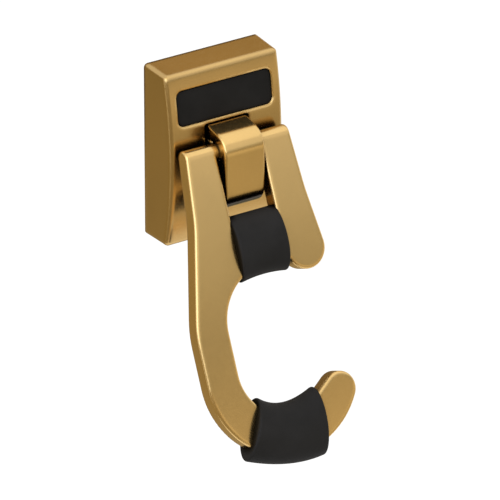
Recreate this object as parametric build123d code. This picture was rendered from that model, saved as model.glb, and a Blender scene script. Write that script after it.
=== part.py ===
from build123d import *
import math
import os

# Broom hook that grips a handle by its own weight, in millimetres
# X runs right, +Y runs into the wall, +Z runs up
# The origin is the centre of the wall plate's rear face
# Depth means distance in front of the wall, which is -Y

# Wall plate, a hollow-backed casting with an arched front
plate_width = 43.2
plate_height = 61.0
plate_edge_depth = 12.2
plate_crown_depth = 15.9
plate_draft = 1.5
plate_wall = 2.6
plate_corner_radius = 1.4
plate_front_radius = 1.3

# Rubber cover let into the arched front, hiding the wall screws
cover_width = 35.2
cover_height = 11.5
cover_drop = 11.9
cover_corner_radius = 2.0
cover_thickness = 2.2
cover_setback = 0.45
cover_gap = 0.25
cover_lip_radius = 0.4
cover_peg_radius = 1.4
cover_peg_clearance = 0.05
cover_peg_spread = 30.0
cover_seat_wall = 2.4

# Wall screw holes behind the cover
wall_hole_radius = 2.25
wall_hole_spacing = 18.0
wall_head_radius = 4.3
wall_head_depth = 3.6
wall_boss_wall = 1.8

# Pivot of the hook, a cross bar in line with the arms' round noses
pivot_ahead_of_crown = 4.1
pivot_below_bracket_top = 7.8
bar_radius = 3.0
bar_clearance = 0.08
tongue_setback = 1.0

# Hanger bracket that carries the bar, seated in a well in the plate
bracket_width = 14.8
bracket_nose_radius = 7.0
bracket_nose_drop = 13.0
bracket_below_cover = 1.45
bracket_edge_radius = 0.7
slot_side_gap = 1.0
slot_top_gap = 0.5
slot_bottom_gap = 1.0
slot_corner_radius = 1.0
slot_lip_depth = 6.0
seat_clearance = 0.1
well_wall = 2.0
well_floor = 4.0

# Stop heel on the bar and the relief it sweeps
heel_width = 6.0
heel_reach = 4.2
relief_side_gap = 0.5
relief_radius = 5.5

# Screws that hold the bracket from behind
screw_radius = 1.5
screw_clearance = 0.05
screw_length = 12.0
screw_head_radius = 2.8
screw_head_height = 1.6
screw_head_sink = 0.4
screw_tip_room = 1.0
screw_spacing = 7.0
screw_drop = 13.0
screw_cross_length = 3.2
screw_cross_width = 0.8
screw_cross_depth = 1.0

# Hook plate, drawn flat: u runs right, drop runs down from the pivot
rest_tilt = 24.0
hook_thickness = 2 * bar_radius
arm_half_span = 19.65
arm_bend_drop = 21.0
arm_bend_half_span = 21.85
window_half_width = 8.5
window_corner_radius = 1.2
web_top_drop = 24.6
web_height = 15.0
lobe_radius = 7.0
lobe_gap = 0.9
lobe_rise = 2.25
lobe_flare = 7.5
lobe_bend_drop = 18.3
spine_outer = 29.9
spine_width = 11.85
spine_bend_drop = 54.9
throat_start = 5.4
throat_fall = 6.1
throat_radius = 18.4
throat_blend_radius = 4.0
foot_width = 14.15
foot_inner_radius = 15.8
foot_rise_radius = 19.0
foot_rise_angle = 36.7
bowl_radius = 28.2
bowl_drop = 73.0
tip_radius = 5.8
tip_angle = 31.5
arm_bend_radius = 60.0
spine_bend_radius = 39.3
hook_edge_radius = 0.9
nose_end_growth = 0.05

# How far a cutting tool runs past the metal
overrun = 1.0

# Rubber grips moulded round the web and the foot
upper_grip_half_length = 9.1
upper_grip_top_wall = 3.3
upper_grip_bottom_wall = 3.5
upper_grip_saddle = 0.9
upper_grip_half_thickness = 6.0
grip_edge_radius = 0.8

# Lower grip's three ovals: where each starts above the foot and ends below the bowl
lower_grip_half_thickness = 6.4
left_oval_top_u = -10.9
left_oval_top_rise = 7.4
left_oval_bottom_u = -19.6
left_oval_bottom_sink = -2.3
middle_oval_top_u = -0.3
middle_oval_top_rise = 3.15
middle_oval_bottom_u = -3.0
middle_oval_bottom_sink = 2.7
right_oval_top_u = 10.9
right_oval_top_rise = 5.7
right_oval_bottom_u = 9.3
right_oval_bottom_sink = 2.9

# Values that follow from the sizes above
half_height = plate_height / 2
cover_centre_z = half_height - cover_drop
bracket_top_z = cover_centre_z - cover_height / 2 - bracket_below_cover
pivot_z = bracket_top_z - pivot_below_bracket_top
pivot_depth = plate_crown_depth + pivot_ahead_of_crown
crown_rise = plate_crown_depth - plate_edge_depth
front_radius = (half_height ** 2 + crown_rise ** 2) / (2 * crown_rise)
spine_inner = spine_outer - spine_width
web_bottom_drop = web_top_drop + web_height
lobe_drop = web_bottom_drop - lobe_rise
throat_drop = web_bottom_drop + throat_fall
bowl_u = bowl_radius - spine_outer
bowl_bottom_drop = bowl_drop + bowl_radius
foot_inner_drop = bowl_bottom_drop - foot_width
slot_bottom_z = pivot_z - bracket_nose_drop - bracket_nose_radius - slot_bottom_gap
slot_top_z = bracket_top_z + slot_top_gap
bracket_bottom_z = slot_bottom_z + slot_bottom_gap
bearing_radius = bar_radius + bar_clearance
screw_z = pivot_z - screw_drop
pivot = Vector(0, -pivot_depth, pivot_z)
tilt = math.radians(rest_tilt)
hook_plane = Plane(origin=pivot, x_dir=(1, 0, 0), z_dir=(0, -math.cos(tilt), math.sin(tilt)))


def block(x_size, z_low, z_high, depth_low, depth_high):
    """A box centred on X = 0 between two heights and two depths."""
    box = Box(x_size, depth_high - depth_low, z_high - z_low)
    return Pos(0, -(depth_low + depth_high) / 2, (z_low + z_high) / 2) * box


def cross_rod(radius, length, depth=pivot_depth, z=pivot_z):
    """A cylinder along X."""
    return Pos(0, -depth, z) * Rot(0, 90, 0) * Cylinder(radius, length)


def depth_rod(radius, x, z, depth_low, depth_high):
    """A cylinder along Y between two depths."""
    rod = Rot(90, 0, 0) * Cylinder(radius, depth_high - depth_low)
    return Pos(x, -(depth_low + depth_high) / 2, z) * rod


def front_drum(inset):
    """The large drum whose surface is the arched front, made smaller by inset."""
    centre_depth = plate_crown_depth - front_radius
    return cross_rod(front_radius - inset, 2 * plate_width, centre_depth, 0)


def arched_block(inset):
    """The plate's outer form, or its hollow when inset is the wall."""
    base = Plane.XZ * Rectangle(plate_width - 2 * inset, plate_height - 2 * inset)
    return extrude(base, 2 * plate_crown_depth, taper=plate_draft) & front_drum(inset)


def cover_outline(grow, length):
    """A rounded bar along Y with the cover's front outline, grown all round."""
    sketch = RectangleRounded(cover_width + 2 * grow, cover_height + 2 * grow, cover_corner_radius + grow)
    return Pos(0, 0, cover_centre_z) * extrude(Plane.XZ * sketch, length)


def make_backplate():
    """Hollow-backed plate with the cover's seat, the wall screw bosses and the bracket's well."""
    outer = arched_block(0)
    outer = fillet(outer.edges().filter_by(lambda e: abs(e.tangent_at(0.5).Y) > 0.9), plate_corner_radius)
    outer = fillet(outer.edges().filter_by(on_front), plate_front_radius)
    hollow = arched_block(plate_wall)
    seat_floor = cover_thickness + cover_setback
    pad = cover_outline(cover_seat_wall, plate_crown_depth) - front_drum(seat_floor + cover_seat_wall)
    slot_width = bracket_width + 2 * slot_side_gap
    well = block(slot_width + 2 * well_wall, slot_bottom_z - well_wall, slot_top_z + well_wall,
                 0, plate_crown_depth)
    boss_radius = wall_head_radius + wall_boss_wall
    bosses = [depth_rod(boss_radius, x, cover_centre_z, 0, plate_crown_depth) for x in wall_hole_places()]
    shell = outer - hollow + (outer & (pad + well + bosses))

    shell -= cover_outline(cover_gap, plate_crown_depth) - front_drum(seat_floor)
    shell = fillet(shell.edges().filter_by(on_front).filter_by(at_cover), cover_lip_radius)
    head_floor = plate_crown_depth - seat_floor - wall_head_depth - front_drop(cover_centre_z)
    for x in wall_hole_places():
        shell -= depth_rod(wall_hole_radius, x, cover_centre_z, -overrun, plate_crown_depth)
        shell -= depth_rod(wall_head_radius, x, cover_centre_z, head_floor, plate_crown_depth)
    peg_hole = cover_peg_radius + cover_peg_clearance
    for x in (-cover_peg_spread / 2, cover_peg_spread / 2):
        shell -= depth_rod(peg_hole, x, cover_centre_z, plate_edge_depth / 2, plate_crown_depth)
    shell -= slot_opening(slot_width)
    shell -= block(bracket_width + 2 * seat_clearance, bracket_bottom_z - seat_clearance,
                   bracket_top_z + seat_clearance, well_floor, plate_crown_depth)
    shell += make_tongue()
    for x in screw_places():
        shell -= screw_hole(x)
    return shell


def on_front(edge):
    """True for the edges that bound the arched front."""
    centre_depth = plate_crown_depth - front_radius
    p = edge @ 0.5
    return abs(math.hypot(p.Y + centre_depth, p.Z) - front_radius) < 0.05


def at_cover(edge):
    """True for the edges round the cover's recess."""
    reach = cover_height / 2 + cover_gap + cover_lip_radius
    return abs(edge.center().Z - cover_centre_z) < reach and abs(edge.center().X) < cover_width / 2 + 2 * cover_gap


def front_drop(z):
    """How far the arched front falls back from its crown at a height."""
    return front_radius - math.sqrt(front_radius ** 2 - z ** 2)


def wall_hole_places():
    return (-wall_hole_spacing / 2, wall_hole_spacing / 2)


def screw_places():
    return (-screw_spacing / 2, screw_spacing / 2)


def slot_opening(width):
    """The slot in the front wall, wider than the bracket so that a dark line shows round it."""
    height = slot_top_z - slot_bottom_z
    sketch = RectangleRounded(width, height, slot_corner_radius)
    bar = extrude(Plane.XZ * sketch, 2 * plate_crown_depth)
    low_depth = plate_crown_depth - slot_lip_depth
    return Pos(0, -low_depth, (slot_top_z + slot_bottom_z) / 2) * bar


def make_tongue():
    """The tongue that stands in the bracket's slot and closes the bar's bearing from behind."""
    tongue = block(bracket_width, pivot_z - bar_radius, pivot_z + bar_radius, well_floor / 2, pivot_depth - tongue_setback)
    tongue -= cross_rod(bearing_radius, bracket_width + overrun)
    return tongue - heel_relief()


def heel_relief():
    """The swept room of the stop heel: round, and flat above where the heel comes to rest."""
    width = heel_width + 2 * relief_side_gap
    room = cross_rod(relief_radius, width)
    roof = pivot_z + bearing_radius
    return room & block(width, pivot_z - relief_radius, roof, 0, 2 * pivot_depth)


def make_bracket():
    """Loop over the bar with a straight tang, slotted from behind for the bar and the tongue."""
    nose_z = pivot_z - bracket_nose_drop
    front = pivot_depth + bracket_nose_radius
    lean, touch = top_tangent()
    bottom = Line((-well_floor, bracket_bottom_z), (-pivot_depth, bracket_bottom_z))
    low_arc = CenterArc((-pivot_depth, nose_z), bracket_nose_radius, 270, -90)
    face_line = Line((-front, nose_z), (-front, pivot_z))
    high_arc = CenterArc((-pivot_depth, pivot_z), bracket_nose_radius, 180, -(90 - lean))
    slope = Line(touch, (-plate_crown_depth, bracket_top_z))
    top = Line((-plate_crown_depth, bracket_top_z), (-well_floor, bracket_top_z))
    rear = Line((-well_floor, bracket_top_z), (-well_floor, bracket_bottom_z))
    profile = closed_face([bottom, low_arc, face_line, high_arc, slope, top, rear])
    solid = extrude(Plane.YZ * profile, bracket_width / 2, both=True)
    outside = solid.edges().filter_by(lambda e: abs(abs(e.center().X) - bracket_width / 2) < 0.01)
    solid = fillet(outside.filter_by(lambda e: e.center().Y < -well_floor), bracket_edge_radius)
    solid -= block(bracket_width + overrun, pivot_z - bearing_radius, pivot_z + bearing_radius, 0, pivot_depth)
    solid -= cross_rod(bearing_radius, bracket_width + overrun)
    solid -= heel_relief()
    hole_depth = screw_head_sink + screw_length + screw_tip_room
    for x in screw_places():
        solid -= depth_rod(screw_radius + screw_clearance, x, screw_z, 0, hole_depth)
    return solid


def top_tangent():
    """Lean of the bracket's top slope in degrees, and where the slope touches the upper nose."""
    back = pivot_depth - plate_crown_depth
    rise = bracket_top_z - pivot_z
    lean = math.acos(bracket_nose_radius / math.hypot(back, rise)) - math.atan2(back, rise)
    touch = (-pivot_depth - bracket_nose_radius * math.sin(lean), pivot_z + bracket_nose_radius * math.cos(lean))
    return math.degrees(lean), touch


def screw_cone(x, grow):
    """The screw head's cone below the plate's rear, grown by a clearance."""
    cone = Cone(screw_head_radius + grow, screw_radius + grow, screw_head_height)
    return Pos(x, -screw_head_sink - screw_head_height / 2, screw_z) * Rot(90, 0, 0) * cone


def screw_hole(x):
    """Clearance hole with a countersink in the well's floor."""
    mouth = depth_rod(screw_head_radius + screw_clearance, x, screw_z, 0, screw_head_sink)
    return mouth + screw_cone(x, screw_clearance) + depth_rod(screw_radius + screw_clearance, x, screw_z, 0, well_floor)


def make_screw(x):
    """Countersunk cross-recessed screw, head towards the wall."""
    shank = depth_rod(screw_radius, x, screw_z, screw_head_sink, screw_head_sink + screw_length)
    cross = Box(screw_cross_length, 2 * screw_cross_depth, screw_cross_width)
    cross += Box(screw_cross_width, 2 * screw_cross_depth, screw_cross_length)
    return screw_cone(x, 0) + shank - Pos(x, -screw_head_sink, screw_z) * cross


def make_cover():
    """Rubber strip that follows the arched front, with two pegs behind."""
    floor = cover_thickness + cover_setback
    strip = (cover_outline(0, plate_crown_depth) & front_drum(cover_setback)) - front_drum(floor)
    peg_top = plate_crown_depth - front_drop(cover_centre_z) - floor
    for x in (-cover_peg_spread / 2, cover_peg_spread / 2):
        peg = depth_rod(cover_peg_radius, x, cover_centre_z, peg_top - cover_seat_wall, peg_top + overrun)
        strip += peg
    return strip


def closed_face(lines):
    """A flat face bounded by a chain of lines and arcs."""
    return make_face([edge for line in lines for edge in line.edges()])


def hook_outline():
    """The hook plate's outer form as a flat face, drawn clockwise from the left nose."""
    lobe = (window_half_width + lobe_gap + lobe_radius, -lobe_drop)
    flare = math.radians(lobe_flare)
    lobe_start = (lobe[0] + lobe_radius * math.cos(flare), lobe[1] + lobe_radius * math.sin(flare))
    bend = (lobe_start[0] - (lobe_drop - lobe_bend_drop) * math.tan(flare), -lobe_bend_drop)
    top = Line((-arm_half_span, 0), (arm_half_span, 0))
    right_arm = FilletPolyline((arm_half_span, 0), bend, lobe_start, radius=arm_bend_radius)
    web_angle = math.degrees(math.asin((web_bottom_drop - lobe_drop) / lobe_radius))
    lobe_arc = CenterArc(lobe, lobe_radius, lobe_flare, -(180 + lobe_flare - web_angle))

    bowl = (bowl_u, -bowl_drop)
    reach = bowl_radius - tip_radius
    tip = (bowl[0] + reach * cos_deg(tip_angle), bowl[1] - reach * sin_deg(tip_angle))
    tip_start = (tip[0] - tip_radius * sin_deg(foot_rise_angle), tip[1] + tip_radius * cos_deg(foot_rise_angle))
    rise_run = (foot_inner_drop + tip_start[1]) / math.tan(math.radians(foot_rise_angle))
    throat = FilletPolyline(
        lobe_arc @ 1,
        (-throat_start, -web_bottom_drop),
        (-spine_inner, -throat_drop),
        (-spine_inner, -foot_inner_drop),
        (tip_start[0] - rise_run, -foot_inner_drop),
        tip_start,
        radius=(throat_blend_radius, throat_radius, foot_inner_radius, foot_rise_radius),
    )
    tip_arc = CenterArc(tip, tip_radius, 90 + foot_rise_angle, -(90 + foot_rise_angle + tip_angle))
    bowl_arc = CenterArc(bowl, bowl_radius, -tip_angle, -(180 - tip_angle))
    left_arm = FilletPolyline(
        (-spine_outer, -bowl_drop),
        (-spine_outer, -spine_bend_drop),
        (-arm_bend_half_span, -arm_bend_drop),
        (-arm_half_span, 0),
        radius=(spine_bend_radius, arm_bend_radius),
    )
    return closed_face([top, right_arm, lobe_arc, throat, tip_arc, bowl_arc, left_arm])


def cos_deg(angle):
    return math.cos(math.radians(angle))


def sin_deg(angle):
    return math.sin(math.radians(angle))


def make_hook_plate():
    """One casting: two arms, the web under the window, the lobe, the spine, the bowl and the tip."""
    window_sketch = RectangleRounded(2 * window_half_width, web_top_drop, window_corner_radius)
    window = Pos(0, -web_top_drop / 2) * window_sketch
    face = hook_outline() - window
    solid = extrude(face, hook_thickness / 2, both=True)
    rim = solid.edges().filter_by(lambda e: abs(abs(e.center().Z) - hook_thickness / 2) < 0.01)
    rim = rim.filter_by(lambda e: e.center().Y < -bar_radius / 2)
    solid = fillet(rim, hook_edge_radius)
    bar = Rot(0, 90, 0) * Cylinder(bar_radius, 2 * arm_half_span)
    bar = fillet(bar.edges().filter_by(GeomType.CIRCLE), hook_edge_radius + nose_end_growth)
    solid = hook_plane * (solid + bar)
    heel = block(heel_width, pivot_z, pivot_z + bar_radius, pivot_depth - heel_reach, pivot_depth)
    return solid + heel


def oval_section(top, bottom, half_thickness):
    """An ellipse across the hook plate between two flat points of it."""
    centre = ((top[0] + bottom[0]) / 2, -(top[1] + bottom[1]) / 2)
    across = Vector(bottom[0] - top[0], -(bottom[1] - top[1]), 0)
    plane = Plane(origin=(centre[0], centre[1], 0), x_dir=across, z_dir=across.rotate(Axis.Z, 90))
    return plane * Ellipse(across.length / 2, half_thickness)


def make_grip(sections, metal):
    """A saddle-shaped rubber sleeve through three ovals, closed round the metal."""
    ovals = [oval_section(top, bottom, half_thickness) for top, bottom, half_thickness in sections]
    sleeve = loft(ovals)
    sleeve = fillet(sleeve.faces().filter_by(GeomType.PLANE).edges(), grip_edge_radius)
    return (hook_plane * sleeve) - metal


def make_upper_grip(metal):
    end = upper_grip_half_length
    top = web_top_drop - upper_grip_top_wall
    bottom = web_bottom_drop + upper_grip_bottom_wall
    thick = upper_grip_half_thickness
    sections = [
        ((-end, top), (-end, bottom), thick),
        ((0, top), (0, bottom - upper_grip_saddle), thick),
        ((end, top), (end, bottom), thick),
    ]
    return make_grip(sections, metal)


def make_lower_grip(metal):
    ovals = [
        (left_oval_top_u, left_oval_top_rise, left_oval_bottom_u, left_oval_bottom_sink),
        (middle_oval_top_u, middle_oval_top_rise, middle_oval_bottom_u, middle_oval_bottom_sink),
        (right_oval_top_u, right_oval_top_rise, right_oval_bottom_u, right_oval_bottom_sink),
    ]
    sections = []
    for top_u, top_rise, bottom_u, bottom_sink in ovals:
        top = (bowl_u + top_u, foot_inner_drop - top_rise)
        bottom = (bowl_u + bottom_u, bowl_bottom_drop + bottom_sink)
        sections.append((top, bottom, lower_grip_half_thickness))
    return make_grip(sections, metal)


def main():
    os.makedirs("parts", exist_ok=True)
    hook_plate = make_hook_plate()
    left, right = screw_places()
    nodes = {
        "backplate": make_backplate(),
        "cover_insert": make_cover(),
        "hanger_bracket": make_bracket(),
        "bracket_screw_left": make_screw(left),
        "bracket_screw_right": make_screw(right),
        "hook_plate": hook_plate,
        "upper_grip": make_upper_grip(hook_plate),
        "lower_grip": make_lower_grip(hook_plate),
    }
    for name, shape in nodes.items():
        export_step(shape, f"parts/{name}.step")


main()
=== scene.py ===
import math

import bpy
from mathutils import Matrix, Vector

# Broom hook in satin brass with black rubber grips, seen from the upper left
# Metres, in the frame's axes: X right, +Y into the wall, +Z up

# Camera, at the photograph's viewing angle
CAMERA_AZIMUTH = -32.3
CAMERA_ELEVATION = 26.8
CAMERA_DISTANCE = 2.2
CAMERA_AIM_RIGHT = 0.015754
CAMERA_AIM_UP = -0.037593
CAMERA_LENS = 489.5
SENSOR_WIDTH = 36.0
CLIP_START = 0.1
CLIP_END = 50.0

# Object's middle, which the lamps and cards face
MIDDLE = Vector((0.0, -0.03, -0.03))

# Colours, as linear values
PLATE_BRASS = (0.60, 0.397, 0.156)
# The hook's and bracket's brass are lighter copies of the plate's brass: painted light on their faces, sides
# and highlights
HOOK_BRASS_LIT = (0.77, 0.515, 0.205)
BRACKET_BRASS_LIT = (0.76, 0.505, 0.195)
# Painted shade colour, for brass recesses and undersides
PAINTED_SHADE = (0.032, 0.019, 0.006)
RUBBER_DARK = (0.030, 0.0288, 0.0280)
RUBBER_LIGHT = (0.041, 0.0392, 0.0385)
RUBBER_EDGE = (0.050, 0.048, 0.046)
# Painted shade colour for the rubber's recesses
RUBBER_PAINTED_SHADE = (0.002, 0.002, 0.002)
STEEL = (0.56, 0.57, 0.58)
STEEL_CLOUD = (0.46, 0.46, 0.45)
FLOOR_COLOUR = (0.92, 0.92, 0.92)
WHITE = (1.0, 1.0, 1.0)

# Rays per shading point for softened edges and for recesses
MASK_SAMPLES = 8

# Edges: cosine of the turn at which the rubbing starts and at which it is full; on brass the lighter rubbed
# edge is partly a painted highlight
EDGE_TURN = (0.995, 0.90)

# Underside: softening radius, and the normal's Z at which the painted shade is full and at which it starts
UNDERSIDE_RADIUS = 0.0025
UNDERSIDE_TILT = (-0.30, -0.04)

# Brass texture: scales in marks per metre, shades and shares of the brass colour, roughness from low to high
CLOUD_SCALE = 38.0
CLOUD_SHADE = 0.90
STREAK_SHADE = 0.84
STREAK_SHARE = 0.22
SPECK_SCALE = 1400.0
SPECK_HEIGHT = 0.4
# Rubbed edges: share of the lighter edge colour, partly a painted highlight, and the polish
RUBBED_HIGHLIGHT_SHARE = 0.8
RUBBED_POLISH = 0.05
GRAIN_ROUGHNESS = (0.17, 0.23)
SPECK_ROUGHNESS = (-0.02, 0.03)
STEEL_ROUGHNESS = (0.24, 0.36)

# Rubber texture, in the same measures
PEBBLE_SCALE = 2600.0
DUST_SCALE = 70.0
RUBBER_ROUNDING = 0.0009
RUBBER_RUBBED_SHARE = 0.35
RUBBER_SPECULAR = 0.08

# Relief of the surfaces, in metres
SKIN_RELIEF = 0.00004
TURNING_RELIEF = 0.00003

# Front card from its bottom up, as heights in metres and tones
FRONT_TONES = (
    (-0.400, (1.2, 1.15, 1.05)),
    (-0.360, (0.66, 0.56, 0.38)),
    (-0.180, (0.57, 0.50, 0.36)),
    (-0.108, (0.52, 0.465, 0.335)),
    (0.000, (0.84, 0.75, 0.57)),
    (0.032, (0.80, 0.70, 0.53)),
    (0.046, (0.40, 0.36, 0.27)),
    (0.065, (0.40, 0.37, 0.29)),
    (0.087, (0.43, 0.41, 0.34)),
    (0.115, (0.51, 0.51, 0.47)),
    (0.135, (0.65, 0.66, 0.65)),
    (0.165, (0.92, 0.92, 0.92)),
)

# Cards, seen only in reflections: name, azimuth, elevation, distance, width, height, tone or tones
STUDIO_CARDS = (
    ("card_left_rear", -148, -22, 0.5, 0.9, 0.9, (0.372, 0.30, 0.155)),
    ("card_rear", 172, 0, 0.45, 0.45, 0.35, (0.20, 0.15, 0.08)),
    ("card_rear_low", 172, -48, 0.3, 0.5, 0.3, (0.40, 0.33, 0.19)),
    ("card_top_rear", 147, 24, 0.6, 0.8, 0.34, (0.50, 0.365, 0.172)),
    ("card_front", 31, 0, 0.4, 0.7, 0.82, FRONT_TONES),
    ("card_rim", -58, 25, 0.8, 0.62, 0.54, (2.2, 2.45, 3.0)),
    ("card_rim_low", -60, -27, 0.5, 0.60, 0.56, (0.38, 0.32, 0.20)),
    ("card_rim_inner", -22, -11, 0.5, 0.24, 0.44, (0.38, 0.32, 0.20)),
)

# Lamps: name, azimuth, elevation, distance, width, height, watts
LAMPS = (
    ("key_top_front", 60, 58, 0.9, 1.2, 1.0, 1.0),
    ("soft_left", -62, 42, 0.8, 0.7, 0.7, 1.5),
)

# Strengths: light on the object, white that the camera and reflections see, and the floor's own glow
AMBIENT_LIGHT = 0.36
SEEN_WHITE = 1.0
FLOOR_GLOW = 0.70

FLOOR_HEIGHT = -0.50
FLOOR_SIZE = 12.0


def direction(azimuth, elevation):
    """Unit vector towards a place round the object: azimuth 0 is the front and 90 the right."""
    a = math.radians(azimuth)
    e = math.radians(elevation)
    return Vector((math.sin(a) * math.cos(e), -math.cos(a) * math.cos(e), math.sin(e)))


def facing(azimuth, elevation, distance):
    """Matrix of something that stands off from the object and faces it."""
    towards = direction(azimuth, elevation)
    turn = towards.to_track_quat("Z", "Y").to_matrix().to_4x4()
    return Matrix.Translation(MIDDLE + towards * distance) @ turn


class Nodes:
    """Short calls for building a node tree."""

    def __init__(self, tree):
        self.tree = tree
        tree.nodes.clear()

    def add(self, kind, **inputs):
        node = self.tree.nodes.new(kind)
        for name, value in inputs.items():
            self.set(node, name.replace("_", " "), value)
        return node

    def set(self, node, name, value):
        socket = node.inputs[name]
        if isinstance(value, bpy.types.NodeSocket):
            self.tree.links.new(value, socket)
        elif isinstance(value, tuple) and len(value) == 3 and socket.type == "RGBA":
            socket.default_value = (*value, 1.0)
        else:
            socket.default_value = value

    def math(self, operation, first, second, clamp=False):
        node = self.tree.nodes.new("ShaderNodeMath")
        node.operation = operation
        node.use_clamp = clamp
        self.set(node, 0, first)
        self.set(node, 1, second)
        return node.outputs[0]

    def mix_colour(self, factor, first, second):
        """first at factor 0, second at factor 1."""
        node = self.tree.nodes.new("ShaderNodeMix")
        node.data_type = "RGBA"
        self.set(node, 0, factor)
        self.set(node, 6, first)
        self.set(node, 7, second)
        return node.outputs[2]

    def spread(self, value, from_low, from_high, to_low=0.0, to_high=1.0):
        """Maps one range to another and stays within it."""
        node = self.add("ShaderNodeMapRange", Value=value)
        node.clamp = True
        node.inputs["From Min"].default_value = from_low
        node.inputs["From Max"].default_value = from_high
        node.inputs["To Min"].default_value = to_low
        node.inputs["To Max"].default_value = to_high
        return node.outputs["Result"]


def new_material(name):
    material = bpy.data.materials.new(name)
    material.use_nodes = True
    return material, Nodes(material.node_tree)


def object_place(nodes, scale=(1.0, 1.0, 1.0)):
    """The surface's own coordinates, stretched."""
    place = nodes.add("ShaderNodeTexCoord")
    mapping = nodes.add("ShaderNodeMapping")
    nodes.set(mapping, "Vector", place.outputs["Object"])
    mapping.inputs["Scale"].default_value = scale
    return mapping.outputs["Vector"]


def noise(nodes, vector, scale, detail=3.0, roughness=0.55):
    node = nodes.add("ShaderNodeTexNoise")
    nodes.set(node, "Vector", vector)
    node.inputs["Scale"].default_value = scale
    node.inputs["Detail"].default_value = detail
    node.inputs["Roughness"].default_value = roughness
    return node.outputs["Fac"]


def rounded_normal(nodes, radius):
    """The surface's normal, with edges softened to a radius."""
    bevel = nodes.add("ShaderNodeBevel")
    bevel.samples = MASK_SAMPLES
    bevel.inputs["Radius"].default_value = radius
    return bevel.outputs["Normal"]


def edge_mask(nodes, rounded):
    """Rises towards 1 where the surface turns, for rubbed edges."""
    geometry = nodes.add("ShaderNodeNewGeometry")
    dot = nodes.add("ShaderNodeVectorMath")
    dot.operation = "DOT_PRODUCT"
    nodes.set(dot, 0, rounded)
    nodes.set(dot, 1, geometry.outputs["Normal"])
    return nodes.spread(dot.outputs["Value"], *EDGE_TURN)


def shaded(colour, factor):
    return tuple(channel * factor for channel in colour)


def recess_mask(nodes, reach, closed, opened):
    """1 where a surface is open, 0 deep in gaps and where pieces nearly meet, looking as far as reach; it
    places painted shade.
    """
    recess_shade = nodes.add("ShaderNodeAmbientOcclusion", Distance=reach)
    recess_shade.samples = MASK_SAMPLES
    return nodes.spread(recess_shade.outputs["AO"], closed, opened)


def bump(nodes, height, strength, depth, normal=None):
    """The surface's normal with fine relief, on top of a softened one where it is given."""
    node = nodes.add("ShaderNodeBump", Strength=strength, Distance=depth, Height=height)
    if normal is not None:
        nodes.set(node, "Normal", normal)
    return node.outputs["Normal"]


def finish_surface(nodes, colour, rough, normal, metallic=0.0):
    shader = nodes.add("ShaderNodeBsdfPrincipled", Base_Color=colour, Roughness=rough, Normal=normal)
    shader.inputs["Metallic"].default_value = metallic
    nodes.add("ShaderNodeOutputMaterial", Surface=shader.outputs["BSDF"])
    return shader


def brass_material(name, brass, grain_scale, rounding, rubbed_highlight_gain, recess_shade, painted_underside_shade=False):
    """Satin brass: fine brushed grain, slow clouds of tone, brighter rubbed edges that are partly a painted
    highlight, painted shade in recesses and where pieces nearly meet.

    grain_scale is in marks per metre, low along the brushing. The recess setting is the reach, the openness
    at which the painted shade is full and the openness from which there is none. The underside flag adds
    painted shade where the surface faces down.
    """
    material, nodes = new_material(name)
    grain = noise(nodes, object_place(nodes, grain_scale), scale=1.0, detail=4.0, roughness=0.65)
    clouds = noise(nodes, object_place(nodes), scale=CLOUD_SCALE, detail=3.0, roughness=0.5)
    specks = noise(nodes, object_place(nodes), scale=SPECK_SCALE, detail=2.0, roughness=0.6)
    rounded = rounded_normal(nodes, rounding)
    edge = edge_mask(nodes, rounded)

    tone = nodes.spread(clouds, 0.32, 0.68)
    colour = nodes.mix_colour(tone, brass, shaded(brass, CLOUD_SHADE))
    streak = nodes.spread(grain, 0.30, 0.70, 0.0, STREAK_SHARE)
    colour = nodes.mix_colour(streak, colour, shaded(brass, STREAK_SHADE))
    # Lighter rubbed edges: partly wear, partly a painted highlight
    rubbed_highlight = nodes.math("MULTIPLY", edge, RUBBED_HIGHLIGHT_SHARE)
    colour = nodes.mix_colour(rubbed_highlight, colour, shaded(brass, rubbed_highlight_gain))
    # Painted shade in recesses and where pieces nearly meet
    colour = nodes.mix_colour(recess_mask(nodes, *recess_shade), PAINTED_SHADE, colour)
    # Painted shade where the surface faces down
    if painted_underside_shade:
        parts = nodes.add("ShaderNodeSeparateXYZ", Vector=rounded_normal(nodes, UNDERSIDE_RADIUS))
        upward = nodes.spread(parts.outputs["Z"], *UNDERSIDE_TILT)
        colour = nodes.mix_colour(upward, PAINTED_SHADE, colour)

    rough = nodes.spread(grain, 0.25, 0.75, *GRAIN_ROUGHNESS)
    rough = nodes.math("SUBTRACT", rough, nodes.math("MULTIPLY", edge, RUBBED_POLISH))
    rough = nodes.math("ADD", rough, nodes.spread(specks, 0.35, 0.70, *SPECK_ROUGHNESS))

    height = nodes.math("ADD", grain, nodes.math("MULTIPLY", specks, SPECK_HEIGHT))
    normal = bump(nodes, height, strength=0.12, depth=SKIN_RELIEF, normal=rounded)
    finish_surface(nodes, colour, rough, normal, metallic=1.0)
    return material


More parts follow.
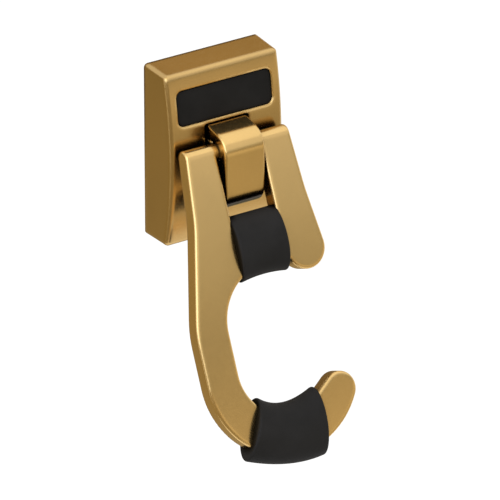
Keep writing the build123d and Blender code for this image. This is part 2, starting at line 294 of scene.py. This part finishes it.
def rubber_material(name, rough_low, rough_high, gain):
    """Matte moulded rubber: a fine pebbled skin, faint clouds of dust, paler rubbed edges and painted shade
    near walls and in gaps.
    """
    material, nodes = new_material(name)
    pebbles = noise(nodes, object_place(nodes), scale=PEBBLE_SCALE, detail=2.0, roughness=0.5)
    clouds = noise(nodes, object_place(nodes), scale=DUST_SCALE)
    rounded = rounded_normal(nodes, RUBBER_ROUNDING)
    edge = edge_mask(nodes, rounded)

    tone = nodes.spread(clouds, 0.35, 0.70)
    colour = nodes.mix_colour(tone, shaded(RUBBER_DARK, gain), shaded(RUBBER_LIGHT, gain))
    colour = nodes.mix_colour(nodes.math("MULTIPLY", edge, RUBBER_RUBBED_SHARE), colour, RUBBER_EDGE)
    # Painted shade along nearby walls and in gaps
    shade_openness = recess_mask(nodes, reach=0.003, closed=0.82, opened=0.99)
    colour = nodes.mix_colour(shade_openness, RUBBER_PAINTED_SHADE, colour)

    rough = nodes.spread(clouds, 0.3, 0.7, rough_low, rough_high)
    normal = bump(nodes, pebbles, strength=0.25, depth=SKIN_RELIEF, normal=rounded)
    shader = finish_surface(nodes, colour, rough, normal)
    shader.inputs["Specular IOR Level"].default_value = RUBBER_SPECULAR
    return material


def steel_material():
    """Plated screw steel with faint turning marks."""
    material, nodes = new_material("screw_steel")
    marks = noise(nodes, object_place(nodes, (600.0, 5200.0, 600.0)), scale=1.0)
    clouds = noise(nodes, object_place(nodes), scale=300.0)
    colour = nodes.mix_colour(nodes.spread(clouds, 0.3, 0.7), STEEL, STEEL_CLOUD)
    rough = nodes.spread(marks, 0.3, 0.7, *STEEL_ROUGHNESS)
    normal = bump(nodes, marks, strength=0.2, depth=TURNING_RELIEF)
    finish_surface(nodes, colour, rough, normal, metallic=1.0)
    return material


def dress(nodes_by_name):
    """Gives every CAD node its finish."""
    plate_brass = brass_material(
        "brass_plate",
        PLATE_BRASS,
        grain_scale=(420.0, 420.0, 4200.0),
        rounding=0.0019,
        rubbed_highlight_gain=1.6,
        recess_shade=(0.006, 0.15, 0.62),
    )
    # Lighter copies of the plate's brass, painted light on the hook and the bracket
    lit_hook_brass = brass_material(
        "brass_hook_lit",
        HOOK_BRASS_LIT,
        grain_scale=(4200.0, 420.0, 420.0),
        rounding=0.0014,
        rubbed_highlight_gain=1.15,
        recess_shade=(0.011, 0.28, 0.80),
    )
    lit_bracket_brass = brass_material(
        "brass_bracket_lit",
        BRACKET_BRASS_LIT,
        grain_scale=(4600.0, 460.0, 460.0),
        rounding=0.0011,
        rubbed_highlight_gain=1.15,
        recess_shade=(0.022, 0.34, 0.82),
        painted_underside_shade=True,
    )
    grip_rubber = rubber_material("rubber_grip", rough_low=0.52, rough_high=0.62, gain=1.0)
    cover_rubber = rubber_material("rubber_cover", rough_low=0.46, rough_high=0.54, gain=0.72)
    steel = steel_material()
    finishes = {
        "backplate": plate_brass,
        "cover_insert": cover_rubber,
        "hanger_bracket": lit_bracket_brass,
        "bracket_screw_left": steel,
        "bracket_screw_right": steel,
        "hook_plate": lit_hook_brass,
        "upper_grip": grip_rubber,
        "lower_grip": grip_rubber,
    }
    for name, material in finishes.items():
        slots = nodes_by_name[name].data.materials
        slots.clear()
        slots.append(material)


def lamp(name, azimuth, elevation, distance, width, height, watts):
    light = bpy.data.lights.new(name, "AREA")
    light.shape = "RECTANGLE"
    light.size = width
    light.size_y = height
    light.energy = watts
    holder = bpy.data.objects.new(name, light)
    holder.matrix_world = facing(azimuth, elevation, distance)
    bpy.context.scene.collection.objects.link(holder)


def flat_sheet(name, width, height, matrix, material):
    mesh = bpy.data.meshes.new(name)
    w = width / 2
    h = height / 2
    mesh.from_pydata([(-w, -h, 0), (w, -h, 0), (w, h, 0), (-w, h, 0)], [], [(0, 1, 2, 3)])
    sheet = bpy.data.objects.new(name, mesh)
    sheet.matrix_world = matrix
    mesh.materials.append(material)
    bpy.context.scene.collection.objects.link(sheet)
    return sheet


def studio_card(name, azimuth, elevation, distance, width, height, tones):
    """A card seen only in reflections, of one tone or of a blend of (height, tone) from the bottom up."""
    material, nodes = new_material(name)
    colour = tones if isinstance(tones[0], float) else blend_up(nodes, tones)
    shader = nodes.add("ShaderNodeEmission", Color=colour, Strength=1.0)
    nodes.add("ShaderNodeOutputMaterial", Surface=shader.outputs["Emission"])
    card = flat_sheet(name, width, height, facing(azimuth, elevation, distance), material)
    card.visible_camera = False
    card.visible_shadow = False
    card.visible_diffuse = False


def blend_up(nodes, tones):
    """A colour that changes with height on a sheet: tones are (height, colour) from the bottom up."""
    place = nodes.add("ShaderNodeTexCoord")
    parts = nodes.add("ShaderNodeSeparateXYZ", Vector=place.outputs["Object"])
    colour = tones[0][1]
    for (low, _), (high, tone) in zip(tones, tones[1:]):
        share = nodes.spread(parts.outputs["Y"], low, high)
        colour = nodes.mix_colour(share, colour, tone)
    return colour


def background_share(nodes):
    """1 for rays that look at the background straight, in gloss or through glass."""
    path = nodes.add("ShaderNodeLightPath")
    share = nodes.math("ADD", path.outputs["Is Camera Ray"], path.outputs["Is Glossy Ray"])
    return nodes.math("ADD", share, path.outputs["Is Transmission Ray"], clamp=True)


def mix_shader(nodes, factor, first, second):
    """first at factor 0, second at factor 1."""
    node = nodes.add("ShaderNodeMixShader")
    nodes.set(node, 0, factor)
    nodes.set(node, 1, first)
    nodes.set(node, 2, second)
    return node.outputs[0]


def floor_material():
    """Pale floor that keeps shadows and looks white from the camera."""
    material, nodes = new_material("studio_floor")
    diffuse = nodes.add("ShaderNodeBsdfDiffuse", Color=FLOOR_COLOUR)
    glow = nodes.add("ShaderNodeEmission", Color=WHITE, Strength=FLOOR_GLOW)
    lit = nodes.add("ShaderNodeAddShader")
    nodes.set(lit, 0, diffuse.outputs[0])
    nodes.set(lit, 1, glow.outputs[0])
    surface = mix_shader(nodes, background_share(nodes), diffuse.outputs[0], lit.outputs[0])
    nodes.add("ShaderNodeOutputMaterial", Surface=surface)
    return material


def light_world():
    """Soft light from all round, seen as plain white."""
    world = bpy.data.worlds.new("studio")
    bpy.context.scene.world = world
    world.use_nodes = True
    nodes = Nodes(world.node_tree)
    soft = nodes.add("ShaderNodeBackground", Color=WHITE, Strength=AMBIENT_LIGHT)
    seen = nodes.add("ShaderNodeBackground", Color=WHITE, Strength=SEEN_WHITE)
    surface = mix_shader(nodes, background_share(nodes), soft.outputs[0], seen.outputs[0])
    nodes.add("ShaderNodeOutputWorld", Surface=surface)


def make_studio():
    light_world()
    floor_place = Matrix.Translation((0, 0, FLOOR_HEIGHT))
    flat_sheet("studio_floor", FLOOR_SIZE, FLOOR_SIZE, floor_place, floor_material())
    for card in STUDIO_CARDS:
        studio_card(*card)
    for settings in LAMPS:
        lamp(*settings)


def make_camera():
    camera = bpy.data.objects.new("camera", bpy.data.cameras.new("camera"))
    a = math.radians(CAMERA_AZIMUTH)
    back = direction(CAMERA_AZIMUTH, CAMERA_ELEVATION)
    right = Vector((math.cos(a), math.sin(a), 0.0))
    up = back.cross(right)
    turn = Matrix((right, up, back)).transposed().to_4x4()
    aim = right * CAMERA_AIM_RIGHT + up * CAMERA_AIM_UP
    camera.matrix_world = Matrix.Translation(aim + back * CAMERA_DISTANCE) @ turn
    camera.data.lens = CAMERA_LENS
    camera.data.sensor_width = SENSOR_WIDTH
    camera.data.clip_start = CLIP_START
    camera.data.clip_end = CLIP_END
    bpy.context.scene.collection.objects.link(camera)
    bpy.context.scene.camera = camera


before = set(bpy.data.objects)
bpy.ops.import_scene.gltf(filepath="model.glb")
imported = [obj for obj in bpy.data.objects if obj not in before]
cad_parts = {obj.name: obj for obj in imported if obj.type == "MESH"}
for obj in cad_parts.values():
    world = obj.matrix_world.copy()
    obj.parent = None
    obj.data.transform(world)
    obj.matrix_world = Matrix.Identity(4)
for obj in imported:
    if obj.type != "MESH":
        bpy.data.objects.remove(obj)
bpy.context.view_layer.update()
bpy.context.scene.view_settings.view_transform = "Standard"
make_camera()
make_studio()
dress(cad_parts)
